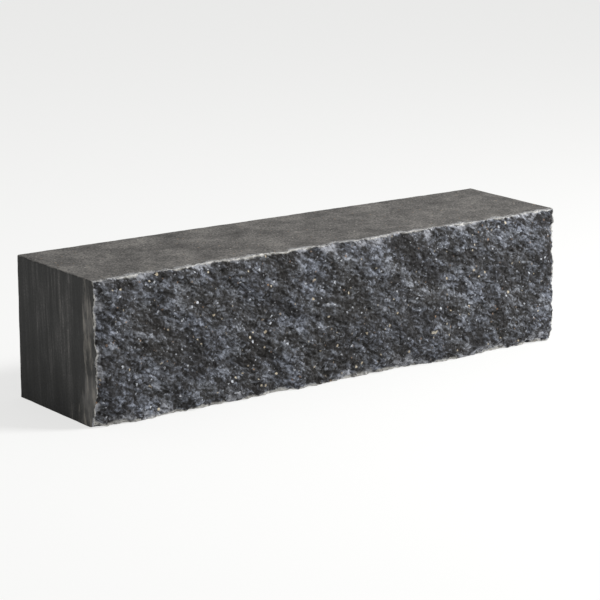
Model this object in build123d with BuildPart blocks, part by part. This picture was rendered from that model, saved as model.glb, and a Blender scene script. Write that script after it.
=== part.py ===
"""Split-face concrete walling block.

One solid pressed concrete block, moulded flat on five sides and broken open along the
sixth. Such blocks are moulded in pairs, as a blank of double depth, and the blank is
snapped in two between the knives of a splitter. So the long front side is a rough
fracture with a slight belly. It is broken by hills and by lumps that run aslant, and it
falls back to bruised edges where the knives bit.

Frame: the origin is on the bed face, at mid length and midway between the back face
and the split line. X runs along the block, +Y points to the back face and +Z is up.
The split face looks towards -Y. All sizes are in millimetres.
"""

import math
import os
import random

from build123d import *

# The moulded block
block_length = 600.0
block_height = 150.0
block_depth = 150.0  # from the back face to the split line
mould_corner_radius = 2.5  # upright corners of the mould
top_arris_radius = 1.2  # worn edge round the moulded sides of the top face

# The broken face, as heights above the split line, away from the block
belly_rise = 2.2  # mid-face above the edges
hill_height = 3.0  # broad hills and hollows, up or down
hill_spacing = 105.0
lump_height = 2.6  # slanting lumps and furrows, up or down
lump_spacing = 32.0  # across a furrow
ridge_height = 2.6  # finer ridges on the lumps, up or down
ridge_spacing = 16.0
furrow_stretch = 2.1  # how much longer a lump or ridge is along its furrow
furrow_angle = -41.0  # degrees from the length, falling to the right
fracture_seed = 20  # picks this one break out of all possible ones

# The knives' marks, where the face falls back along its four edges
bite_depth = 2.8
bite_width = 11.0  # how far in from an edge the bite reaches
bite_unevenness = 0.55  # share by which a bruise is deeper or shallower than that
bruise_length = 46.0  # from one bruise to the next along an edge

# How finely the broken face is measured out, and how far its sheet outreaches the block
survey_pitch = 5.0
survey_overrun = 9.0
survey_tolerance = 0.06

half_length = block_length / 2
split_line_y = -block_depth / 2


def lattice_height(layer: str, column: int, row: int) -> float:
    """A fixed random height from -1 to 1 for one crossing of a layer's lattice."""
    return random.Random(f"{fracture_seed} {layer} {column} {row}").uniform(-1.0, 1.0)


def rolling_height(layer: str, u: float, v: float) -> float:
    """Smooth random height between -1 and 1 at u, v, counted in lattice spacings."""
    column, row = math.floor(u), math.floor(v)
    across, up = u - column, v - row
    across = across * across * (3 - 2 * across)
    up = up * up * (3 - 2 * up)
    low = (1 - across) * lattice_height(layer, column, row)
    low += across * lattice_height(layer, column + 1, row)
    high = (1 - across) * lattice_height(layer, column, row + 1)
    high += across * lattice_height(layer, column + 1, row + 1)
    return (1 - up) * low + up * high


def belly(x: float, z: float) -> float:
    """Rise of the fracture between its edges, highest at mid-face."""
    along = math.cos(math.pi * x / block_length)
    up = math.sin(math.pi * z / block_height)
    return belly_rise * along * up


def hills(x: float, z: float) -> float:
    """Broad hills and hollows of the fracture."""
    return hill_height * rolling_height("hills", x / hill_spacing, z / hill_spacing)


def furrows(layer: str, height: float, spacing: float, x: float, z: float) -> float:
    """Relief drawn out aslant, the way that the crack ran across the block."""
    slant = math.radians(furrow_angle)
    along = x * math.cos(slant) + z * math.sin(slant)
    across = z * math.cos(slant) - x * math.sin(slant)
    return height * rolling_height(layer, along / (spacing * furrow_stretch), across / spacing)


def bite(x: float, z: float) -> float:
    """Depth that the knives crushed away near the edges, deeper at some bruises."""
    edges = (
        ("left end", half_length + x, z),
        ("right end", half_length - x, z),
        ("bed", z, x),
        ("top", block_height - z, x),
    )
    depths = []
    for edge, inset, run in edges:
        bruise = 1 + bite_unevenness * rolling_height(edge, run / bruise_length, 0)
        depths.append(bite_depth * bruise * math.exp(-((inset / bite_width) ** 2)))
    return math.hypot(*depths)


def relief(x: float, z: float) -> float:
    """Height of the broken face above the split line."""
    lumps = furrows("lumps", lump_height, lump_spacing, x, z)
    ridges = furrows("ridges", ridge_height, ridge_spacing, x, z)
    return belly(x, z) + hills(x, z) + lumps + ridges - bite(x, z)


def stations(low: float, high: float) -> list[float]:
    """Evenly spaced places from low to high, about one survey pitch apart."""
    steps = math.ceil((high - low) / survey_pitch)
    return [low + (high - low) * step / steps for step in range(steps + 1)]


def fracture() -> Face:
    """The sheet along which the blank breaks, a little larger than its section."""
    xs = stations(-half_length - survey_overrun, half_length + survey_overrun)
    zs = stations(-survey_overrun, block_height + survey_overrun)
    survey = [[(x, split_line_y - relief(x, z), z) for z in zs] for x in xs]
    return Face.make_surface_from_array_of_points(survey, tol=survey_tolerance)


# The blank of double depth is moulded round the split line, then broken in two there,
# and the half behind the fracture is the block
with BuildPart() as wall_block:
    with BuildSketch() as blank_outline:
        with Locations((0, split_line_y)):
            RectangleRounded(block_length, 2 * block_depth, mould_corner_radius)
    extrude(amount=block_height)
    top_rim = wall_block.faces().sort_by(Axis.Z)[-1].edges()
    fillet(top_rim, top_arris_radius)
    split(bisect_by=fracture(), keep=Keep.BOTTOM)

wall_block.part.label = "wall_block"

os.makedirs("parts", exist_ok=True)
export_step(wall_block.part, "parts/wall_block.step")
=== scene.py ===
"""Dressed model of one split-face walling block of dark concrete.

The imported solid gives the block's outline and the rise and fall of its broken face. This
script lays a fine skin over that solid as a mason would describe the block: a torn
fracture sheet in front, moulded sides drawn back from its edges, a closed back, then the
grain of the break, the bruises of the splitter's knives along the four split edges, and
a finish for each way that a side was made.

Lengths are in millimetres where a name ends in _mm, and in metres elsewhere.
"""

from __future__ import annotations

import logging
import math
from dataclasses import dataclass, field, replace
from enum import Enum, IntEnum

import bpy
from bpy.types import Material, Mesh, Node, NodeSocket, NodeTree, Object
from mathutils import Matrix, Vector
from mathutils.kdtree import KDTree

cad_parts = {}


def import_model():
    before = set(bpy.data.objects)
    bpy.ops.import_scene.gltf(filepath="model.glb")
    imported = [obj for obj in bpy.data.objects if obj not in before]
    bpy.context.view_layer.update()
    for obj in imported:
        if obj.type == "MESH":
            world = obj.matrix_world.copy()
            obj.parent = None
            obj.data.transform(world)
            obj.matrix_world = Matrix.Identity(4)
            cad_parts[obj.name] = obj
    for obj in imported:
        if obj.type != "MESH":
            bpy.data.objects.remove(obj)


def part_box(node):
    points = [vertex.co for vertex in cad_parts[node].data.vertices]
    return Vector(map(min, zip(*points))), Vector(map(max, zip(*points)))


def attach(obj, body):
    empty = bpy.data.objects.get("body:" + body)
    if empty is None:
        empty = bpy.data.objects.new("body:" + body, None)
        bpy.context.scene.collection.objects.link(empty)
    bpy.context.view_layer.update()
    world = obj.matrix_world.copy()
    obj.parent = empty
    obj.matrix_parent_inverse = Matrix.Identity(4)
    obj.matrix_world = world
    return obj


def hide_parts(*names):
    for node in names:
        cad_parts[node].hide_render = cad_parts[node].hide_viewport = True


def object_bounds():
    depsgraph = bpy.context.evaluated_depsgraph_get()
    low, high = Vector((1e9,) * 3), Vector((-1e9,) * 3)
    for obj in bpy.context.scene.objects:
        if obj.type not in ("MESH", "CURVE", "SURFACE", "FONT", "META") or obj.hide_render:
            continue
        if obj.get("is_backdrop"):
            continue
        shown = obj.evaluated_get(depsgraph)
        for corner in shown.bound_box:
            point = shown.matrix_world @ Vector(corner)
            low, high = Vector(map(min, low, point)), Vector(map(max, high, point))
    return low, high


LOG = logging.getLogger("walling_block")

MM = 0.001
SOLID = "wall_block"
BODY = "root"

FROM_EDGE = "from_edge"
FROM_ARRIS = "from_arris"
CREST = "crest"

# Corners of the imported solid's loose triangles that lie closer than this are one
MERGE_MM = 0.01

# How many grains deep a relief's grain is where it doesn't change from front to back
ENDLESS = 1000.0

# How far the furrows of the break turn from level, falling towards the right end
FURROW_DEG = -28.0

# Cloudy values lie round this one, which neither pales nor darkens a finish
EVEN = 0.5

# Blender's own numbers for the colour sockets of a Mix node, which share their names
MIX_A, MIX_B, MIX_RESULT = 6, 7, 2


class Side(Enum):
    """The block's six sides, each with the way that it looks."""

    SPLIT = (0.0, -1.0, 0.0)
    BACK = (0.0, 1.0, 0.0)
    LEFT_END = (-1.0, 0.0, 0.0)
    RIGHT_END = (1.0, 0.0, 0.0)
    BED = (0.0, 0.0, -1.0)
    TOP = (0.0, 0.0, 1.0)

    @property
    def outward(self) -> Vector:
        """The side's outward direction."""
        return Vector(self.value)


class Zone(Enum):
    """The vertex groups that say how far each kind of relief reaches."""

    FRACTURE = "fracture"
    TOP_EDGE = "top_edge"
    BED_EDGE = "bed_edge"
    LEFT_EDGE = "left_edge"
    RIGHT_EDGE = "right_edge"
    SPLIT_EDGES = "split_edges"
    CORNER = "corner"
    ARRIS = "arris"
    MOULDED = "moulded"
    PLAIN = "plain"


EDGE_ZONES = {
    Side.TOP: Zone.TOP_EDGE,
    Side.BED: Zone.BED_EDGE,
    Side.LEFT_END: Zone.LEFT_EDGE,
    Side.RIGHT_END: Zone.RIGHT_EDGE,
}


class Finish(IntEnum):
    """The ways that a side was made, in the order of the skin's material slots."""

    SPLIT = 0
    MOULDED = 1
    PRESSED = 2


FINISH_OF_SIDE = {
    Side.SPLIT: Finish.SPLIT,
    Side.BACK: Finish.MOULDED,
    Side.LEFT_END: Finish.MOULDED,
    Side.RIGHT_END: Finish.MOULDED,
    Side.BED: Finish.PRESSED,
    Side.TOP: Finish.PRESSED,
}


def eased(share: float) -> float:
    """Ease a share from 0 to 1, level at both ends."""
    share = min(1.0, max(0.0, share))
    return share * share * (3 - 2 * share)


def linear(hex_colour: str) -> tuple[float, float, float, float]:
    """Turn an sRGB hex colour into linear light.

    Args:
        hex_colour: The colour as #rrggbb.

    Returns:
        Red, green and blue in linear light, and an alpha of 1.
    """
    channels = [int(hex_colour[i : i + 2], 16) / 255 for i in (1, 3, 5)]
    toe, slope, offset, power = 0.04045, 12.92, 0.055, 2.4
    light = [c / slope if c <= toe else ((c + offset) / (1 + offset)) ** power for c in channels]
    return light[0], light[1], light[2], 1.0


def add_node(
    tree: NodeTree,
    kind: str,
    settings: dict[str, object] | None = None,
    inputs: dict[str | int, object] | None = None,
) -> Node:
    """Add a node with its settings and links.

    Args:
        tree: The material's node tree.
        kind: The node's type.
        settings: Values for the node's own properties.
        inputs: For each socket, by name or number, its value or the output that feeds it.

    Returns:
        The new node.
    """
    node = tree.nodes.new(kind)
    for name, value in (settings or {}).items():
        setattr(node, name, value)
    for socket, value in (inputs or {}).items():
        if isinstance(value, NodeSocket):
            tree.links.new(value, node.inputs[socket])
        else:
            node.inputs[socket].default_value = value
    return node


def set_stops(ramp: Node, stops: tuple[tuple[float, str], ...]) -> None:
    """Give a colour ramp its stops.

    Args:
        ramp: The colour ramp's node.
        stops: Places along the ramp in rising order, each with its colour.
    """
    elements = ramp.color_ramp.elements
    elements.remove(elements[-1])
    elements[0].position, elements[0].color = stops[0][0], linear(stops[0][1])
    for position, name in stops[1:]:
        elements.new(position).color = linear(name)


def outward_from(azimuth_deg: float, elevation_deg: float) -> Vector:
    """The direction from the object to a place round it.

    Args:
        azimuth_deg: Degrees to the right of straight in front of the broken face.
        elevation_deg: Degrees above the floor.

    Returns:
        A unit vector.
    """
    azimuth, elevation = math.radians(azimuth_deg), math.radians(elevation_deg)
    level = math.cos(elevation)
    return Vector((math.sin(azimuth) * level, -math.cos(azimuth) * level, math.sin(elevation)))


def deselect_all() -> None:
    """Leave object mode and deselect every object."""
    if bpy.context.mode != "OBJECT":
        bpy.ops.object.mode_set(mode="OBJECT")
    bpy.ops.object.select_all(action="DESELECT")


def take_up(piece: Object) -> None:
    """Make one object the only selected and active one.

    Args:
        piece: The object.
    """
    deselect_all()
    piece.select_set(True)
    bpy.context.view_layer.objects.active = piece


def finish_with(piece: Object, kind: str, **settings: object) -> None:
    """Add a modifier to a piece and apply it.

    Args:
        piece: The mesh object.
        kind: The modifier's type.
        settings: The modifier's own settings.
    """
    take_up(piece)
    modifier = piece.modifiers.new(kind.lower(), kind)
    for name, value in settings.items():
        setattr(modifier, name, value)
    bpy.ops.object.modifier_apply(modifier=modifier.name)


def keep_values(mesh: Mesh, name: str, values: list[float]) -> None:
    """Keep one value for each vertex, for the finishes to read.

    Args:
        mesh: The mesh.
        name: The attribute's name.
        values: A value for each vertex, in their order.
    """
    mesh.attributes.new(name, "FLOAT", "POINT").data.foreach_set("value", values)


@dataclass(frozen=True)
class Relief:
    """One layer of relief, pressed into the skin along one axis.

    The texture is measured in grains: a grain is grain_mm wide, drawn_out times as long,
    and turned by turned_deg about the line from front to back. It doesn't change from
    front to back unless deep says so, so the skin beside an edge moves with the edge. Its
    values of 0 and 1 come to lie depth_mm apart, and the value middle stays in place.
    """

    name: str
    texture: str
    settings: dict[str, object]
    grain_mm: float
    depth_mm: float
    zone: Zone
    axis: str = "Y"
    middle: float = 0.5
    drawn_out: float = 1.0
    turned_deg: float = 0.0
    deep: bool = False

    def press(self, piece: Object) -> None:
        """Press this relief into a piece.

        Args:
            piece: The mesh object, with a vertex group for the relief's zone.
        """
        grain = self.grain_mm * MM
        through = grain if self.deep else ENDLESS * grain
        bpy.ops.object.empty_add(rotation=(0, math.radians(-self.turned_deg), 0))
        ruler = bpy.context.object
        ruler.scale = (grain * self.drawn_out, through, grain)
        bpy.context.view_layer.update()
        texture = bpy.data.textures.new(self.name, self.texture)
        texture.noise_scale = 1.0
        for name, value in self.settings.items():
            setattr(texture, name, value)
        finish_with(
            piece,
            "DISPLACE",
            texture=texture,
            texture_coords="OBJECT",
            texture_coords_object=ruler,
            vertex_group=self.zone.value,
            direction=self.axis,
            mid_level=self.middle,
            strength=self.depth_mm * MM,
        )
        bpy.data.objects.remove(ruler)
        bpy.data.textures.remove(texture)


FRACTURE_RELIEF = (
    Relief(
        "furrows",
        "CLOUDS",
        {"noise_depth": 2},
        grain_mm=17.0,
        depth_mm=2.4,
        zone=Zone.FRACTURE,
        drawn_out=1.9,
        turned_deg=FURROW_DEG,
    ),
    Relief(
        "torn_lumps",
        "CLOUDS",
        {"noise_depth": 3},
        grain_mm=7.5,
        depth_mm=3.6,
        zone=Zone.FRACTURE,
        drawn_out=1.5,
        turned_deg=FURROW_DEG,
    ),
    Relief(
        "hackle",
        "MUSGRAVE",
        {"musgrave_type": "RIDGED_MULTIFRACTAL"},
        grain_mm=10.0,
        depth_mm=-0.6,
        zone=Zone.FRACTURE,
        drawn_out=1.6,
        turned_deg=FURROW_DEG,
    ),
    Relief(
        "stones",
        "DISTORTED_NOISE",
        {"noise_basis": "VORONOI_F1", "distortion": 1.2},
        grain_mm=6.0,
        depth_mm=1.3,
        zone=Zone.FRACTURE,
    ),
)

EDGE_RELIEF = (
    Relief(
        "flakes",
        "VORONOI",
        {},
        grain_mm=13.0,
        depth_mm=-4.0,
        zone=Zone.SPLIT_EDGES,
        middle=0.9,
    ),
    *(
        Relief(
            f"{zone.value}_bruise",
            "CLOUDS",
            {"noise_depth": 3},
            grain_mm=7.0,
            depth_mm=inward_mm,
            zone=zone,
            axis=axis,
            middle=0.2,
        )
        for zone, axis, inward_mm in (
            (Zone.TOP_EDGE, "Z", -2.6),
            (Zone.BED_EDGE, "Z", 2.6),
            (Zone.LEFT_EDGE, "X", 2.2),
            (Zone.RIGHT_EDGE, "X", -2.2),
        )
    ),
    *(
        Relief(
            f"knocked_corner_{axis.lower()}",
            "CLOUDS",
            {"noise_depth": 2},
            grain_mm=9.0,
            depth_mm=inward_mm,
            zone=Zone.CORNER,
            axis=axis,
            middle=0.0,
        )
        for axis, inward_mm in (("X", 5.0), ("Y", 8.0), ("Z", 6.0))
    ),
)

MOULD_RELIEF = (
    Relief(
        "worn_arris",
        "CLOUDS",
        {"noise_depth": 3},
        grain_mm=15.0,
        depth_mm=-0.7,
        zone=Zone.ARRIS,
        axis="NORMAL",
        middle=0.3,
        deep=True,
    ),
    Relief(
        "uneven",
        "CLOUDS",
        {"noise_depth": 2},
        grain_mm=28.0,
        depth_mm=0.5,
        zone=Zone.MOULDED,
        axis="NORMAL",
        deep=True,
    ),
)


@dataclass(frozen=True)
class Clouds:
    """Uneven values from 0 to 1, most of them near the even one, with clouds of one real size."""

    size_mm: float
    detail: float = 4.0
    roughness: float = 0.6
    distortion: float = 0.0

    def at(self, place: NodeSocket) -> dict[str, object]:
        """What a noise node is given to make these clouds.

        Args:
            place: Where a point is.

        Returns:
            The noise node's inputs.
        """
        return {
            "Vector": place,
            "Scale": 1 / (self.size_mm * MM),
            "Detail": self.detail,
            "Roughness": self.roughness,
            "Distortion": self.distortion,
        }


@dataclass(frozen=True)
class BareGrains:
    """Small round marks in a few colours: bare grains in colours of their own, pores painted dark
    as painted shade, and glints painted pale as painted highlights.

    A share of the cells, each about cell_mm wide, holds one of up to radius_mm. A noise of
    chip_mm chips its outline, and its rim fades over rim_mm. The cells of each kind are
    shifted and turned, so that two kinds don't fall together or lie square to the block.
    Most real ones are finer, and are drawn this coarse so that they show.
    """

    colours: tuple[str, ...]
    cell_mm: float
    radius_mm: float
    share: float
    shift_mm: float = 0.0
    turned_rad: tuple[float, float, float] = (0.5, 0.9, 0.3)
    drawn_out: float = 1.0
    chip_mm: float = 1.8
    chipped: float = 1.9
    least_radius: float = 0.4
    rim_mm: float = 0.6
    strength: float = 0.9

    def lay_over(self, tree: NodeTree, place: NodeSocket, colour: NodeSocket) -> NodeSocket:
        """Lay these grains over what is there.

        Args:
            tree: The material's node tree.
            place: Where a point is.
            colour: The colour under the grains.

        Returns:
            The colour with the grains.
        """
        shifted = add_node(
            tree,
            "ShaderNodeMapping",
            inputs={
                "Vector": place,
                "Location": (self.shift_mm * MM,) * 3,
                "Rotation": self.turned_rad,
                "Scale": (1 / self.drawn_out, 1.0, 1.0),
            },
        ).outputs["Vector"]
        chips = add_node(
            tree, "ShaderNodeTexNoise", inputs={"Vector": shifted, "Scale": 1 / (self.chip_mm * MM)}
        ).outputs["Color"]
        uneven = add_node(
            tree,
            "ShaderNodeVectorMath",
            {"operation": "MULTIPLY_ADD"},
            {0: chips, 1: (self.chipped * self.chip_mm * MM,) * 3, 2: shifted},
        ).outputs["Vector"]
        cells = add_node(
            tree, "ShaderNodeTexVoronoi", inputs={"Vector": uneven, "Scale": 1 / (self.cell_mm * MM)}
        )
        draw = add_node(tree, "ShaderNodeSeparateColor", inputs={"Color": cells.outputs["Color"]})
        picked = add_node(
            tree, "ShaderNodeMath", {"operation": "LESS_THAN"}, {0: draw.outputs["Red"], 1: self.share}
        ).outputs["Value"]
        radius = add_node(
            tree,
            "ShaderNodeMapRange",
            inputs={
                "Value": draw.outputs["Green"],
                "To Min": self.least_radius * self.radius_mm / self.cell_mm,
                "To Max": self.radius_mm / self.cell_mm,
            },
        ).outputs["Result"]
        inside = add_node(
            tree, "ShaderNodeMath", {"operation": "SUBTRACT"}, {0: radius, 1: cells.outputs["Distance"]}
        ).outputs["Value"]
        disc = add_node(
            tree,
            "ShaderNodeMapRange",
            inputs={"Value": inside, "From Max": self.rim_mm / self.cell_mm, "To Max": self.strength},
        ).outputs["Result"]
        mask = add_node(
            tree, "ShaderNodeMath", {"operation": "MULTIPLY"}, {0: disc, 1: picked}
        ).outputs["Value"]
        sort = add_node(tree, "ShaderNodeValToRGB", inputs={"Fac": draw.outputs["Blue"]})
        sort.color_ramp.interpolation = "CONSTANT"
        count = len(self.colours)
        set_stops(sort, tuple((index / count, name) for index, name in enumerate(self.colours)))
        return add_node(
            tree,
            "ShaderNodeMix",
            {"data_type": "RGBA"},
            {"Factor": mask, MIX_A: colour, MIX_B: sort.outputs["Color"]},
        ).outputs[MIX_RESULT]


@dataclass(frozen=True)
class EdgeBand:
    """A paler band along some edges, of uneven width, where they were crushed or rubbed.

    The band is as wide as the first of width_mm where its clouds are at narrow_at, and as
    the second where they are at wide_at. It starts to fade at the share solid of its width.
    Where its cover is at thin_at, only the share thinnest is left, and at full_at it is whole.
    """

    colour: str
    width_mm: tuple[float, float]
    strength: float
    clouds: Clouds
    narrow_at: float = 0.4
    wide_at: float = 0.66
    solid: float = 0.25
    thinnest: float = 1.0
    thin_at: float = 0.35
    full_at: float = 0.62

    def lay_over(
        self,
        tree: NodeTree,
        place: NodeSocket,
        from_edge: NodeSocket,
        cover: NodeSocket,
        colour: NodeSocket,
    ) -> NodeSocket:
        """Lay this band over what is there.

        Args:
            tree: The material's node tree.
            place: Where a point is, for the clouds that widen and narrow the band.
            from_edge: How far it is from the nearest of the edges, in millimetres.
            cover: Cloudy values that thin the band where they are low.
            colour: The colour under the band.

        Returns:
            The colour with the band.
        """
        ragged = add_node(tree, "ShaderNodeTexNoise", inputs=self.clouds.at(place)).outputs["Fac"]
        width = add_node(
            tree,
            "ShaderNodeMapRange",
            inputs={
                "Value": ragged,
                "From Min": self.narrow_at,
                "From Max": self.wide_at,
                "To Min": self.width_mm[0],
                "To Max": self.width_mm[1],
            },
        ).outputs["Result"]
        spent = add_node(
            tree, "ShaderNodeMath", {"operation": "DIVIDE"}, {0: from_edge, 1: width}
        ).outputs["Value"]
        fading = add_node(
            tree,
            "ShaderNodeMapRange",
            inputs={"Value": spent, "From Min": self.solid, "To Min": self.strength, "To Max": 0.0},
        ).outputs["Result"]
        covering = add_node(
            tree,
            "ShaderNodeMapRange",
            inputs={
                "Value": cover,
                "From Min": self.thin_at,
                "From Max": self.full_at,
                "To Min": self.thinnest,
            },
        ).outputs["Result"]
        mask = add_node(
            tree, "ShaderNodeMath", {"operation": "MULTIPLY"}, {0: fading, 1: covering}
        ).outputs["Value"]
        return add_node(
            tree,
            "ShaderNodeMix",
            {"data_type": "RGBA"},
            {"Factor": mask, MIX_A: colour, MIX_B: linear(self.colour)},
        ).outputs[MIX_RESULT]


@dataclass(frozen=True)
class Concrete:
    """What every finish of the block shares: dry concrete, with no sheen of its own."""

    name: str
    roughness: float = 0.9
    ior: float = 1.5
    specular: float = 0.3
    bump_mm: float = 0.35
    worn: EdgeBand = EdgeBand(
        "#94928e",
        (0.3, 1.7),
        strength=0.6,
        clouds=Clouds(8.0, roughness=0.7),
        narrow_at=0.45,
    )

    def make(self) -> Material:
        """Make the material.

        Returns:
            The finished material.
        """
        material = bpy.data.materials.new(self.name)
        material.use_nodes = True
        tree = material.node_tree
        shader = tree.nodes["Principled BSDF"]
        place = add_node(tree, "ShaderNodeTexCoord").outputs["Object"]
        from_edge = add_node(tree, "ShaderNodeAttribute", {"attribute_name": FROM_EDGE}).outputs["Fac"]
        colour, height = self.paint(tree, place, from_edge)
        tree.links.new(colour, shader.inputs["Base Color"])
        bump = add_node(
            tree, "ShaderNodeBump", inputs={"Height": height, "Distance": self.bump_mm * MM}
        )
        tree.links.new(bump.outputs["Normal"], shader.inputs["Normal"])
        shader.inputs["Roughness"].default_value = self.roughness
        shader.inputs["IOR"].default_value = self.ior
        shader.inputs["Specular IOR Level"].default_value = self.specular
        return material

    def paint(
        self, tree: NodeTree, place: NodeSocket, from_edge: NodeSocket
    ) -> tuple[NodeSocket, NodeSocket]:
        """Lay on the finish's colours.

        Args:
            tree: The material's node tree.
            place: Where a point is.
            from_edge: How far it is from the nearest split edge, in millimetres.

        Returns:
            The colour, and the height of the finest relief, as a multiple of bump_mm.
        """
        raise NotImplementedError

    def shade(
        self,
        tree: NodeTree,
        layers: tuple[tuple[float, NodeSocket], ...],
        stops: tuple[tuple[float, str], ...],
    ) -> NodeSocket:
        """Add cloudy layers up to one tone and turn that into colours.

        Args:
            tree: The material's node tree.
            layers: Each layer's gain and values. The tone is even where they all are.
            stops: Tones in rising order, each with its colour.

        Returns:
            The colour at a point.
        """
        tone = EVEN * (1 - sum(gain for gain, _ in layers))
        for gain, values in layers:
            tone = add_node(
                tree, "ShaderNodeMath", {"operation": "MULTIPLY_ADD"}, {0: values, 1: gain, 2: tone}
            ).outputs["Value"]
        ramp = add_node(tree, "ShaderNodeValToRGB", inputs={"Fac": tone})
        set_stops(ramp, stops)
        return ramp.outputs["Color"]

    def wear_arrises(
        self, tree: NodeTree, place: NodeSocket, cover: NodeSocket, colour: NodeSocket
    ) -> NodeSocket:
        """Pale the moulded arrises where handling has rubbed them.

        Args:
            tree: The material's node tree.
            place: Where a point is.
            cover: Cloudy values of the side.
            colour: The colour of the side.

        Returns:
            The colour with its worn arrises.
        """
        from_arris = add_node(
            tree, "ShaderNodeAttribute", {"attribute_name": FROM_ARRIS}
        ).outputs["Fac"]
        return self.worn.lay_over(tree, place, from_arris, cover, colour)


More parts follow.
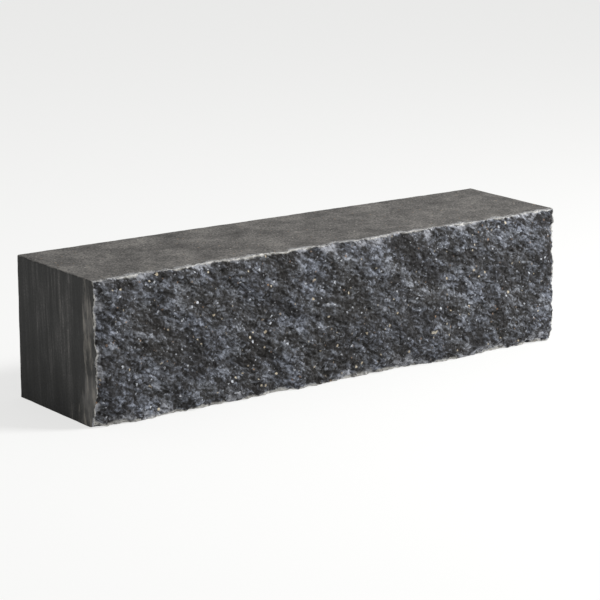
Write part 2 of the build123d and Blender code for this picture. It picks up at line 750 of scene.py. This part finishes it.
@dataclass(frozen=True)
class SplitConcrete(Concrete):
    """Broken through-coloured concrete: torn matrix, dry and matt, with bare sand grains.

    The eye sees charcoal hollows and fine stringy blue-grey films that run aslant, torn
    along their rims, over a sandy ground with glints, cream and rusty grains. The glints are
    painted highlights, and the crests of the torn skin are paled and its hollows darkened by
    painted light and shade. Every split edge has a pale grainy crushed line, which widens here
    and there into a cloud, and further along the bed edge as painted light over its shade.
    """

    name: str = "split_anthracite_concrete"
    roughness: float = 0.92
    bump_mm: float = 0.4
    shades_of_break: tuple[tuple[float, str], ...] = (
        (0.34, "#1a1817"),
        (0.48, "#343333"),
        (0.58, "#5b5d62"),
        (0.72, "#9da1aa"),
    )
    patches: Clouds = Clouds(32.0, detail=3.0, distortion=0.6)
    patch_gain: float = 0.21
    furrows: Clouds = Clouds(14.0, detail=3.0, distortion=0.5)
    furrow_gain: float = 0.37
    furrow_stretch: float = 1.9
    furrow_deg: float = FURROW_DEG
    films: Clouds = Clouds(5.0, detail=6.0, roughness=0.64, distortion=0.6)
    film_gain: float = 0.64
    # Tears, sand and grit are finer in fact, and are drawn this coarse so that they show
    tear_mm: float = 1.5
    torn: float = 1.6
    sand_mm: float = 2.4
    sand_gain: float = 0.14
    sand_height: float = 0.8
    frost_gain: float = 0.32
    # Painted light and shade: crests standing up to crest_mm proud are paled, hollows darkened
    crest_mm: float = 0.7
    crest_shading_gain: float = 0.14
    bloom: Clouds = Clouds(36.0)
    bloom_tints: tuple[tuple[float, str], ...] = ((0.40, "#fdfdfb"), (0.60, "#f6f9ff"))
    # Along the bed edge these bands reach further, as painted light over that edge's shade
    crushed: tuple[EdgeBand, ...] = (
        EdgeBand(
            "#a8aab0",
            (0.2, 15.0),
            strength=0.9,
            clouds=Clouds(34.0),
            narrow_at=0.47,
            thinnest=0.08,
            thin_at=0.50,
            full_at=0.82,
        ),
        EdgeBand(
            "#cdcbc5",
            (0.15, 3.8),
            strength=0.88,
            clouds=Clouds(28.0, detail=6.0, roughness=0.68),
            narrow_at=0.42,
            wide_at=0.64,
            thinnest=0.28,
            thin_at=0.45,
            full_at=0.80,
        ),
    )
    grains: tuple[BareGrains, ...] = (
        # Painted glints: pale blue-grey specks painted as highlights on small facets of the break
        BareGrains(
            ("#9599a0", "#abafb6", "#85888e", "#bfc2c7"),
            cell_mm=5.0,
            radius_mm=1.2,
            share=0.55,
            shift_mm=93.0,
        ),
        BareGrains(
            ("#8a7667", "#715f53", "#997c62", "#85796d"),
            cell_mm=8.0,
            radius_mm=1.5,
            share=0.5,
            shift_mm=41.0,
        ),
        BareGrains(
            ("#b3b6bc", "#a9a294"),
            cell_mm=30.0,
            radius_mm=2.4,
            share=0.5,
            shift_mm=67.0,
            drawn_out=2.4,
        ),
        BareGrains(
            ("#cbc1ad", "#c9ccd2", "#b5a994", "#bfc3ca"),
            cell_mm=8.0,
            radius_mm=1.9,
            share=0.5,
        ),
    )
    grit: Clouds = Clouds(1.6, detail=5.0, roughness=0.75)

    def paint(
        self, tree: NodeTree, place: NodeSocket, from_edge: NodeSocket
    ) -> tuple[NodeSocket, NodeSocket]:
        """Lay on the break's tones with painted light and shade on its crests and hollows, its bluish
        bloom, its crushed edges, its bare grains and its painted glints.

        Args:
            tree: The material's node tree.
            place: Where a point is.
            from_edge: How far it is from the nearest split edge, in millimetres.

        Returns:
            The colour, and the height of the sand with its grit.
        """
        # Painted light and shade: paler where the torn skin stands proud, darker in its hollows
        crest = add_node(tree, "ShaderNodeAttribute", {"attribute_name": CREST}).outputs["Fac"]
        crest_light_and_shade = add_node(
            tree,
            "ShaderNodeMapRange",
            inputs={"Value": crest, "From Min": -self.crest_mm, "From Max": self.crest_mm},
        ).outputs["Result"]
        aslant = add_node(
            tree,
            "ShaderNodeMapping",
            {"vector_type": "TEXTURE"},
            {
                "Vector": place,
                "Rotation": (0.0, math.radians(-self.furrow_deg), 0.0),
                "Scale": (self.furrow_stretch, 1.0, 1.0),
            },
        ).outputs["Vector"]
        patches = add_node(tree, "ShaderNodeTexNoise", inputs=self.patches.at(aslant)).outputs["Fac"]
        furrows = add_node(tree, "ShaderNodeTexNoise", inputs=self.furrows.at(aslant)).outputs["Fac"]
        tears = add_node(
            tree, "ShaderNodeTexNoise", inputs={"Vector": place, "Scale": 1 / (self.tear_mm * MM)}
        ).outputs["Color"]
        ragged = add_node(
            tree,
            "ShaderNodeVectorMath",
            {"operation": "MULTIPLY_ADD"},
            {0: tears, 1: (self.torn * self.tear_mm * MM,) * 3, 2: aslant},
        ).outputs["Vector"]
        films = add_node(tree, "ShaderNodeTexNoise", inputs=self.films.at(ragged)).outputs["Fac"]
        cells = add_node(
            tree, "ShaderNodeTexVoronoi", inputs={"Vector": ragged, "Scale": 1 / (self.sand_mm * MM)}
        )
        sand = add_node(
            tree, "ShaderNodeSeparateColor", inputs={"Color": cells.outputs["Color"]}
        ).outputs["Red"]
        layers = (
            (self.patch_gain, patches),
            (self.furrow_gain, furrows),
            (self.film_gain, films),
            (self.sand_gain, sand),
            (self.crest_shading_gain, crest_light_and_shade),
        )
        colour = self.shade(tree, layers, self.shades_of_break)
        bloom = add_node(tree, "ShaderNodeTexNoise", inputs=self.bloom.at(aslant)).outputs["Fac"]
        tint = add_node(tree, "ShaderNodeValToRGB", inputs={"Fac": bloom})
        set_stops(tint, self.bloom_tints)
        colour = add_node(
            tree,
            "ShaderNodeMix",
            {"data_type": "RGBA", "blend_type": "MULTIPLY"},
            {"Factor": 1.0, MIX_A: colour, MIX_B: tint.outputs["Color"]},
        ).outputs[MIX_RESULT]
        frosting = add_node(
            tree,
            "ShaderNodeMath",
            {"operation": "MULTIPLY_ADD"},
            {0: sand, 1: self.frost_gain, 2: films},
        ).outputs["Value"]
        for band in self.crushed:
            colour = band.lay_over(tree, place, from_edge, frosting, colour)
        for grains in self.grains:
            colour = grains.lay_over(tree, place, colour)
        grit = add_node(tree, "ShaderNodeTexNoise", inputs=self.grit.at(place)).outputs["Fac"]
        height = add_node(
            tree,
            "ShaderNodeMath",
            {"operation": "MULTIPLY_ADD"},
            {0: cells.outputs["Distance"], 1: -self.sand_height, 2: grit},
        ).outputs["Value"]
        return colour, height


@dataclass(frozen=True)
class MouldedConcrete(Concrete):
    """Concrete that slid out of a steel mould: closed and smooth, with upright drag lines.

    The eye sees a dark even grey, faintly sandy, with thin paler streaks that come and go,
    a few pits painted dark as painted shade, and a paler strip with cream smears beside the
    split edge.
    """

    name: str = "moulded_anthracite_concrete"
    roughness: float = 0.8
    specular: float = 0.35
    bump_mm: float = 0.25
    shades_of_streaks: tuple[tuple[float, str], ...] = (
        (0.38, "#2e2e2d"),
        (0.50, "#3b3b3a"),
        (0.58, "#4c4b4a"),
        (0.66, "#6d6b68"),
    )
    # Drag lines and sand are finer in fact, and are drawn this coarse so that they show
    streaks: Clouds = Clouds(4.2, roughness=0.5, distortion=0.35)
    streak_gain: float = 0.42
    streak_stretch: float = 30.0
    lean_deg: float = -4.0
    bands: Clouds = Clouds(12.0, detail=2.0)
    band_gain: float = 0.28
    fading: Clouds = Clouds(55.0, detail=3.0)
    fading_gain: float = 0.30
    faded_at: float = 0.44
    drawn_at: float = 0.62
    faintest: float = 0.3
    sand: Clouds = Clouds(2.0, detail=3.0, roughness=0.7)
    sand_gain: float = 0.26
    sand_height: float = 0.6
    strip: EdgeBand = EdgeBand(
        "#7d7b78",
        (18.0, 25.0),
        strength=0.62,
        clouds=Clouds(12.0, detail=2.0),
        solid=0.8,
        thinnest=0.1,
        thin_at=0.43,
        full_at=0.60,
    )
    smears: Clouds = Clouds(5.6, detail=6.0, roughness=0.66, distortion=0.15)
    smear_stretch: float = 5.5
    smeared: EdgeBand = replace(
        strip,
        colour="#b3ada3",
        strength=0.55,
        solid=0.85,
        thinnest=0.0,
        thin_at=0.48,
        full_at=0.70,
    )
    # Painted shade: dark dots for pits, which have no hollow in the skin
    pits: BareGrains = BareGrains(
        ("#171716", "#201f1f"), cell_mm=9.0, radius_mm=1.1, share=0.5, rim_mm=0.35
    )

    def paint(
        self, tree: NodeTree, place: NodeSocket, from_edge: NodeSocket
    ) -> tuple[NodeSocket, NodeSocket]:
        """Lay on the drag lines, the sand, the strip beside the split edge and the pits' painted shade.

        Args:
            tree: The material's node tree.
            place: Where a point is.
            from_edge: How far it is from the nearest split edge, in millimetres.

        Returns:
            The colour, and the height of the drag lines and the sand.
        """
        lean = math.radians(self.lean_deg)
        drawn, squeezed = (
            add_node(
                tree,
                "ShaderNodeMapping",
                {"vector_type": "TEXTURE"},
                {"Vector": place, "Rotation": (lean, lean, 0.0), "Scale": (1.0, 1.0, stretch)},
            ).outputs["Vector"]
            for stretch in (self.streak_stretch, self.smear_stretch)
        )
        streaks, bands, fading, smears, sand = (
            add_node(tree, "ShaderNodeTexNoise", inputs=clouds.at(where)).outputs["Fac"]
            for clouds, where in (
                (self.streaks, drawn),
                (self.bands, drawn),
                (self.fading, place),
                (self.smears, squeezed),
                (self.sand, place),
            )
        )
        drag = add_node(
            tree,
            "ShaderNodeMapRange",
            inputs={
                "Value": fading,
                "From Min": self.faded_at,
                "From Max": self.drawn_at,
                "To Min": self.faintest,
            },
        ).outputs["Result"]
        drag_lines = add_node(
            tree, "ShaderNodeMix", {"data_type": "FLOAT"}, {"Factor": drag, "A": EVEN, "B": streaks}
        ).outputs["Result"]
        layers = (
            (self.streak_gain, drag_lines),
            (self.band_gain, bands),
            (self.fading_gain, fading),
            (self.sand_gain, sand),
        )
        colour = self.shade(tree, layers, self.shades_of_streaks)
        colour = self.strip.lay_over(tree, drawn, from_edge, fading, colour)
        colour = self.smeared.lay_over(tree, drawn, from_edge, smears, colour)
        colour = self.pits.lay_over(tree, place, colour)
        height = add_node(
            tree,
            "ShaderNodeMath",
            {"operation": "MULTIPLY_ADD"},
            {0: sand, 1: self.sand_height, 2: drag_lines},
        ).outputs["Value"]
        return self.wear_arrises(tree, place, fading, colour), height


@dataclass(frozen=True)
class PressedConcrete(Concrete):
    """Concrete pressed by the mould's shoe or its pallet: level, sandy and dusty.

    The eye sees a brown-grey, faintly cloudy and finely speckled, with small pores painted
    dark as painted shade, and a pale grainy margin beside the split edge that is partly rubbed
    wear and partly a painted highlight along the arris.
    """

    name: str = "pressed_anthracite_concrete"
    shades_of_dust: tuple[tuple[float, str], ...] = (
        (0.38, "#363533"),
        (0.50, "#5a5856"),
        (0.62, "#85827d"),
    )
    dust: Clouds = Clouds(38.0, detail=7.0, roughness=0.74)
    dust_gain: float = 0.42
    # Sand is finer in fact, and is drawn this coarse so that it shows
    sand: Clouds = Clouds(2.2, detail=3.0, roughness=0.7)
    sand_gain: float = 0.5
    # Partly rubbed wear, partly a painted highlight along the split edge's arris
    margin: EdgeBand = EdgeBand(
        "#b2b3b5",
        (2.0, 12.0),
        strength=0.8,
        clouds=Clouds(14.0, roughness=0.7),
        thinnest=0.3,
        thin_at=0.38,
        full_at=0.62,
    )
    grains: tuple[BareGrains, ...] = (
        BareGrains(
            ("#aaa69d", "#8f8b84", "#94806b", "#7d7a75"),
            cell_mm=4.6,
            radius_mm=1.1,
            share=0.7,
            shift_mm=57.0,
            rim_mm=0.3,
        ),
        # Painted shade: dark dots for pores, which have no hollow in the skin
        BareGrains(("#191818", "#232221"), cell_mm=6.5, radius_mm=1.3, share=0.7, rim_mm=0.35),
    )

    def paint(
        self, tree: NodeTree, place: NodeSocket, from_edge: NodeSocket
    ) -> tuple[NodeSocket, NodeSocket]:
        """Lay on the dust, the pale margin with its painted highlight, the sand grains and the pores'
        painted shade.

        Args:
            tree: The material's node tree.
            place: Where a point is.
            from_edge: How far it is from the nearest split edge, in millimetres.

        Returns:
            The colour, and the height of the sand.
        """
        dust = add_node(tree, "ShaderNodeTexNoise", inputs=self.dust.at(place)).outputs["Fac"]
        sand = add_node(tree, "ShaderNodeTexNoise", inputs=self.sand.at(place)).outputs["Fac"]
        layers = ((self.dust_gain, dust), (self.sand_gain, sand))
        colour = self.shade(tree, layers, self.shades_of_dust)
        colour = self.margin.lay_over(tree, place, from_edge, sand, colour)
        for grains in self.grains:
            colour = grains.lay_over(tree, place, colour)
        return self.wear_arrises(tree, place, dust, colour), sand


@dataclass
class Studio:
    """A pale floor under plain soft light, seen from where the photograph was taken."""

    floor_colour: str = "#f4f4f3"
    floor_size: float = 30.0
    glow_colour: str = "#fdfdfc"
    floor_glow: float = 0.7
    sky_colour: str = "#ffffff"
    sky_light: float = 0.42
    key_light: float = 49.0
    key_size: float = 0.55
    key_azimuth_deg: float = 46.0
    key_elevation_deg: float = 46.0
    key_distance: float = 2.2
    camera_azimuth_deg: float = -36.0
    camera_elevation_deg: float = 13.6
    camera_distance: float = 2.67
    lens_mm: float = 150.0
    sensor_mm: float = 36.0

    def build(self, aim: Vector) -> None:
        """Set up the floor, the light and the camera.

        Args:
            aim: The middle of the object.
        """
        self.lay_floor()
        self.light_sky()
        self.hang_key(aim)
        self.place_camera(aim)
        view = bpy.context.scene.view_settings
        view.view_transform = "Standard"

    def lay_floor(self) -> None:
        """Lay the pale floor that the block stands on."""
        deselect_all()
        bpy.ops.mesh.primitive_plane_add(size=self.floor_size, location=(0.0, 0.0, 0.0))
        floor = bpy.context.object
        floor.name = "studio_floor"
        material = bpy.data.materials.new("matt_studio_paper")
        material.use_nodes = True
        tree = material.node_tree
        paper = tree.nodes["Principled BSDF"]
        paper.inputs["Base Color"].default_value = linear(self.floor_colour)
        paper.inputs["Roughness"].default_value = 1.0
        paper.inputs["Specular IOR Level"].default_value = 0.0
        glow = add_node(tree, "ShaderNodeEmission", inputs={"Color": linear(self.glow_colour)})
        ray = add_node(tree, "ShaderNodeLightPath").outputs["Is Camera Ray"]
        share = add_node(
            tree, "ShaderNodeMath", {"operation": "MULTIPLY"}, {0: ray, 1: self.floor_glow}
        ).outputs["Value"]
        seen = add_node(
            tree,
            "ShaderNodeMixShader",
            inputs={0: share, 1: paper.outputs["BSDF"], 2: glow.outputs["Emission"]},
        )
        tree.links.new(seen.outputs["Shader"], tree.nodes["Material Output"].inputs["Surface"])
        floor.data.materials.append(material)
        floor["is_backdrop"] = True

    def light_sky(self) -> None:
        """Surround the studio with even light, which the camera sees as white."""
        world = bpy.data.worlds.new("studio_surround")
        bpy.context.scene.world = world
        world.use_nodes = True
        tree = world.node_tree
        ray = add_node(tree, "ShaderNodeLightPath").outputs["Is Camera Ray"]
        strength = add_node(
            tree,
            "ShaderNodeMix",
            {"data_type": "FLOAT"},
            {"Factor": ray, "A": self.sky_light, "B": 1.0},
        ).outputs["Result"]
        background = tree.nodes["Background"]
        background.inputs["Color"].default_value = linear(self.sky_colour)
        tree.links.new(strength, background.inputs["Strength"])

    def hang_key(self, aim: Vector) -> None:
        """Hang the one soft lamp, high to the right of the camera.

        Args:
            aim: The middle of the object.
        """
        deselect_all()
        back = outward_from(self.key_azimuth_deg, self.key_elevation_deg)
        bpy.ops.object.light_add(type="AREA", location=aim + self.key_distance * back)
        lamp = bpy.context.object
        lamp.name = "key_softbox"
        lamp.data.size = self.key_size
        lamp.data.energy = self.key_light
        lamp.rotation_euler = (-back).to_track_quat("-Z", "Y").to_euler()

    def place_camera(self, aim: Vector) -> None:
        """Put the camera where the photograph was taken and aim it at the object.

        Args:
            aim: The middle of the object.
        """
        back = outward_from(self.camera_azimuth_deg, self.camera_elevation_deg)
        bpy.ops.object.camera_add(location=aim + self.camera_distance * back)
        camera = bpy.context.object
        camera.name = "photograph_camera"
        camera.rotation_euler = (-back).to_track_quat("-Z", "Y").to_euler()
        camera.data.lens = self.lens_mm
        camera.data.sensor_width = self.sensor_mm
        bpy.context.scene.camera = camera


@dataclass
class WallingBlock:
    """The whole block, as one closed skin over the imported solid.

    The sheet's squares are pitch_mm wide, and its outermost row is rim_mm. The sides have
    ring_count rings, crowded towards the split line and the back. Each reach is how far a
    kind of wear goes from its edge or corner. A vertex of the break within flush_mm of a
    side's plane is on their shared edge, and a side face near it that leans by more than
    chip_angle_deg is a chip. Within kept_fine_mm of the split edges nothing is thinned.
    """

    name: str = "walling_block_skin"
    pitch_mm: float = 1.2
    rim_mm: float = 1.5
    ring_count: int = 36
    ring_crowding: float = 0.72
    fracture_reach_mm: float = 25.0
    edge_reach_mm: float = 8.0
    corner_reach_mm: float = 15.0
    corner_bruise_mm: float = 3.0
    # A distance from the bed edge counts for less, so the pale band reaches further there:
    # painted light over the shade of that downward-facing edge
    bed_painted_light: float = 0.5
    # A side counts as moulded from this share of the edges' reach on
    moulded_from: float = 0.5
    arris_reach_mm: float = 3.5
    kept_fine_mm: float = 14.0
    flush_mm: float = 0.1
    chip_reach_mm: float = 2.6
    chip_angle_deg: float = 16.0
    facing_cosine: float = 0.5
    triangle_limit: int = 190_000
    smoothing: float = 0.5
    smoothed_rounds: int = 10
    box: tuple[Vector, Vector] = field(default_factory=lambda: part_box(SOLID))
    piece: Object | None = None

    @property
    def split_line(self) -> float:
        """Where the split line lies, mirrored from the back face about the origin."""
        return -self.box[1].y

    def build(self) -> Object:
        """Build the skin from front to back, then dress and wear it.

        Returns:
            The finished piece.
        """
        self.lay_fracture_sheet()
        self.draw_moulded_sides()
        self.close_back()
        self.mark_zones()
        self.face_finishes()
        self.seat_moulded_sides()
        self.wear()
        self.lay_chips_bare()
        self.note_forms()
        self.thin_plain_sides()
        return self.piece

    def wrap_on_solid(self, **settings: object) -> None:
        """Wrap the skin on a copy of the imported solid, whose loose triangles are merged.

        Args:
            settings: The shrinkwrap's own settings.
        """
        mesh = bpy.data.objects[SOLID].data.copy()
        solid = bpy.data.objects.new("solid_copy", mesh)
        bpy.context.scene.collection.objects.link(solid)
        take_up(solid)
        bpy.ops.object.mode_set(mode="EDIT")
        bpy.ops.mesh.select_all(action="SELECT")
        bpy.ops.mesh.remove_doubles(threshold=MERGE_MM * MM)
        bpy.ops.object.mode_set(mode="OBJECT")
        finish_with(self.piece, "SHRINKWRAP", target=solid, **settings)
        bpy.data.objects.remove(solid)

    def lay_fracture_sheet(self) -> None:
        """Press a fine sheet onto the broken face from in front, and draw its rim out."""
        low, high = self.box
        width, height = high.x - low.x, high.z - low.z
        in_front = 2 * low.y
        rim = self.rim_mm * MM
        deselect_all()
        bpy.ops.mesh.primitive_grid_add(
            x_subdivisions=round(width / (self.pitch_mm * MM)),
            y_subdivisions=round(height / (self.pitch_mm * MM)),
            size=1.0,
            location=(0.0, in_front, height / 2),
            rotation=(math.radians(90), 0.0, 0.0),
        )
        self.piece = bpy.context.object
        self.piece.name = self.name
        self.piece.scale = (width - 2 * rim, height - 2 * rim, 1.0)
        bpy.ops.object.transform_apply(location=True, rotation=True, scale=True)
        self.wrap_on_solid(
            wrap_method="PROJECT",
            use_project_y=True,
            use_positive_direction=True,
            use_negative_direction=False,
        )
        bpy.ops.object.mode_set(mode="EDIT")
        self.select_open_edges()
        bpy.ops.mesh.extrude_edges_move()
        bpy.ops.transform.resize(
            value=(width / (width - 2 * rim), 1.0, height / (height - 2 * rim)),
            center_override=(0.0, 0.0, height / 2),
        )
        bpy.ops.object.mode_set(mode="OBJECT")

    def select_open_edges(self) -> None:
        """Select the edges round the skin's opening, in edit mode."""
        bpy.ops.mesh.select_mode(type="EDGE")
        bpy.ops.mesh.select_all(action="DESELECT")
        bpy.ops.mesh.select_non_manifold(
            use_wire=False, use_multi_face=False, use_non_contiguous=False, use_verts=False
        )

    def ring_depths(self) -> list[float]:
        """How far behind the split line each ring of the sides lies, crowded at both ends."""
        depth = self.box[1].y - self.split_line
        shares = [ring / self.ring_count for ring in range(self.ring_count + 1)]
        turn = 2 * math.pi
        return [depth * (s - self.ring_crowding * math.sin(turn * s) / turn) for s in shares]

    def draw_moulded_sides(self) -> None:
        """Draw the sheet's edges back ring by ring, until the last ring lies flat."""
        take_up(self.piece)
        bpy.ops.object.mode_set(mode="EDIT")
        self.select_open_edges()
        depths = self.ring_depths()
        for before, after in zip(depths, depths[1:]):
            bpy.ops.mesh.extrude_edges_move(
                TRANSFORM_OT_translate={"value": (0.0, after - before, 0.0)}
            )
            left_over = (depths[-1] - after) / (depths[-1] - before)
            bpy.ops.transform.resize(
                value=(1.0, left_over, 1.0),
                center_override=(0.0, self.split_line + after, 0.0),
            )
        bpy.ops.object.mode_set(mode="OBJECT")

    def close_back(self) -> None:
        """Close the back with a grid and turn every face outwards."""
        width = self.box[1].x - self.box[0].x
        take_up(self.piece)
        bpy.ops.object.mode_set(mode="EDIT")
        self.select_open_edges()
        bpy.ops.mesh.fill_grid(span=round(width / (self.pitch_mm * MM)))
        bpy.ops.mesh.select_all(action="SELECT")
        bpy.ops.mesh.normals_make_consistent(inside=False)
        bpy.ops.object.mode_set(mode="OBJECT")
        bpy.ops.object.shade_smooth()

    def split_edge_finders(self) -> dict[Zone, KDTree]:
        """Find the split edges, as the vertices of the broken face that are flush with a side.

        Returns:
            A finder of the nearest vertex for each of the four edges.
        """
        mesh = self.piece.data
        broken = self.vertices_of(Side.SPLIT)
        finders = {}
        for side, zone in EDGE_ZONES.items():
            reach = max(corner.dot(side.outward) for corner in self.box) - self.flush_mm * MM
            shared = [v for v in broken if mesh.vertices[v].co.dot(side.outward) > reach]
            finder = KDTree(len(shared))
            for vertex in shared:
                finder.insert(mesh.vertices[vertex].co, vertex)
            finder.balance()
            finders[zone] = finder
        return finders

    def vertices_of(self, side: Side) -> set[int]:
        """Find the vertices of every face that looks the way of one side.

        Args:
            side: The side.

        Returns:
            The vertices' numbers.
        """
        outward, least = side.outward, self.facing_cosine
        faces = (face for face in self.piece.data.polygons if face.normal.dot(outward) > least)
        return {vertex for face in faces for vertex in face.vertices}

    def from_arris(self, place: Vector) -> float:
        """Measure how far a place on a side is from the nearest moulded arris.

        A place on a side lies on one plane of the block's box, and the nearest arris is
        where that plane meets the next nearest one. The broken face counts as no plane.

        Args:
            place: The place.

        Returns:
            The distance in millimetres.
        """
        high = self.box[1]
        planes = (high.x - abs(place.x), high.y - place.y, min(place.z, high.z - place.z))
        return sorted(planes)[1] / MM

    def mark_zones(self) -> None:
        """Give each vertex its weights, and keep how far it is from the split edges.

        The kept distance is cut short round the knocked corner, where the edges are crushed
        more, and towards the bed edge, so that the pale band widens there as painted light over
        the shade of that edge.
        """
        mesh = self.piece.data
        broken = self.vertices_of(Side.SPLIT)
        finders = self.split_edge_finders()
        groups = {zone: self.piece.vertex_groups.new(name=zone.value) for zone in Zone}
        from_edge = []
        low = self.box[0]
        knocked = Vector((low.x, self.split_line, low.z))
        for vertex in mesh.vertices:
            distances = {zone: finder.find(vertex.co)[2] / MM for zone, finder in finders.items()}
            nearest = min(distances.values())
            # Painted light: the distance shrinks towards the bed edge, so the pale band widens there
            crushed = min(nearest, self.bed_painted_light * distances[Zone.BED_EDGE])
            weights = {zone: eased(1 - d / self.edge_reach_mm) for zone, d in distances.items()}
            weights[Zone.SPLIT_EDGES] = eased(1 - nearest / self.edge_reach_mm)
            from_knock = (vertex.co - knocked).length / MM
            weights[Zone.CORNER] = eased(1 - from_knock / self.corner_reach_mm)
            from_edge.append(max(0.0, crushed - self.corner_bruise_mm * weights[Zone.CORNER]))
            if vertex.index in broken:
                weights[Zone.FRACTURE] = 1.0
            else:
                clear = eased(nearest / self.edge_reach_mm - self.moulded_from)
                weights[Zone.FRACTURE] = eased(1 - nearest / self.fracture_reach_mm)
                weights[Zone.MOULDED] = clear
                from_arris = self.from_arris(vertex.co)
                weights[Zone.ARRIS] = clear * eased(1 - from_arris / self.arris_reach_mm)
                weights[Zone.PLAIN] = float(
                    nearest > self.kept_fine_mm and from_arris > self.arris_reach_mm
                )
            for zone, weight in weights.items():
                if weight > 0:
                    groups[zone].add((vertex.index,), weight, "REPLACE")
        keep_values(mesh, FROM_EDGE, from_edge)

    def face_finishes(self) -> None:
        """Give each side its finish, by the way that its faces look."""
        mesh = self.piece.data
        concretes = {
            Finish.SPLIT: SplitConcrete(),
            Finish.MOULDED: MouldedConcrete(),
            Finish.PRESSED: PressedConcrete(),
        }
        for finish in Finish:
            mesh.materials.append(concretes[finish].make())
        for face in mesh.polygons:
            side = max(Side, key=lambda s: face.normal.dot(s.outward))
            face.material_index = FINISH_OF_SIDE[side]

    def seat_moulded_sides(self) -> None:
        """Seat the moulded sides on the solid, whose corners are rounded."""
        self.wrap_on_solid(wrap_method="NEAREST_SURFACEPOINT", vertex_group=Zone.MOULDED.value)

    def wear(self) -> None:
        """Tear the fracture, bruise its edges and mark the moulded sides."""
        for relief in (*FRACTURE_RELIEF, *EDGE_RELIEF, *MOULD_RELIEF):
            relief.press(self.piece)

    def lay_chips_bare(self) -> None:
        """Give the split finish to side faces by the split edge that a bruise has turned."""
        mesh = self.piece.data
        distance = mesh.attributes[FROM_EDGE].data
        steepest = math.cos(math.radians(self.chip_angle_deg))
        ways = {finish: [] for finish in Finish}
        for side, finish in FINISH_OF_SIDE.items():
            ways[finish].append(side.outward)
        for face in mesh.polygons:
            near = max(distance[vertex].value for vertex in face.vertices) < self.chip_reach_mm
            flat = any(face.normal.dot(outward) > steepest for outward in ways[face.material_index])
            if near and not flat:
                face.material_index = Finish.SPLIT

    def note_forms(self) -> None:
        """Keep how far the torn skin stands proud, and how far each point is from an arris."""
        smooth = self.piece.copy()
        smooth.data = self.piece.data.copy()
        bpy.context.scene.collection.objects.link(smooth)
        finish_with(smooth, "SMOOTH", factor=self.smoothing, iterations=self.smoothed_rounds)
        mesh = self.piece.data
        broken = self.piece.vertex_groups[Zone.FRACTURE.value].index
        crests = []
        for vertex, level in zip(mesh.vertices, smooth.data.vertices):
            torn = any(member.group == broken for member in vertex.groups)
            crests.append((level.co.y - vertex.co.y) / MM if torn else 0.0)
        bpy.data.objects.remove(smooth)
        keep_values(mesh, CREST, crests)
        keep_values(mesh, FROM_ARRIS, [self.from_arris(vertex.co) for vertex in mesh.vertices])

    def thin_plain_sides(self) -> None:
        """Thin the plain sides, where a coarser skin looks the same."""
        triangles = sum(len(face.vertices) - 2 for face in self.piece.data.polygons)
        finish_with(
            self.piece,
            "DECIMATE",
            ratio=min(1.0, self.triangle_limit / triangles),
            vertex_group=Zone.PLAIN.value,
        )


def main() -> None:
    """Build the block and the studio round it, aimed at the middle of the imported solid."""
    logging.basicConfig(level=logging.INFO, format="%(message)s")
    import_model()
    solid_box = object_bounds()
    skin = WallingBlock().build()
    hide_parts(SOLID)
    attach(skin, BODY)
    LOG.info("%s: %d faces", skin.name, len(skin.data.polygons))
    Studio().build(aim=(solid_box[0] + solid_box[1]) / 2)


if __name__ == "__main__":
    main()
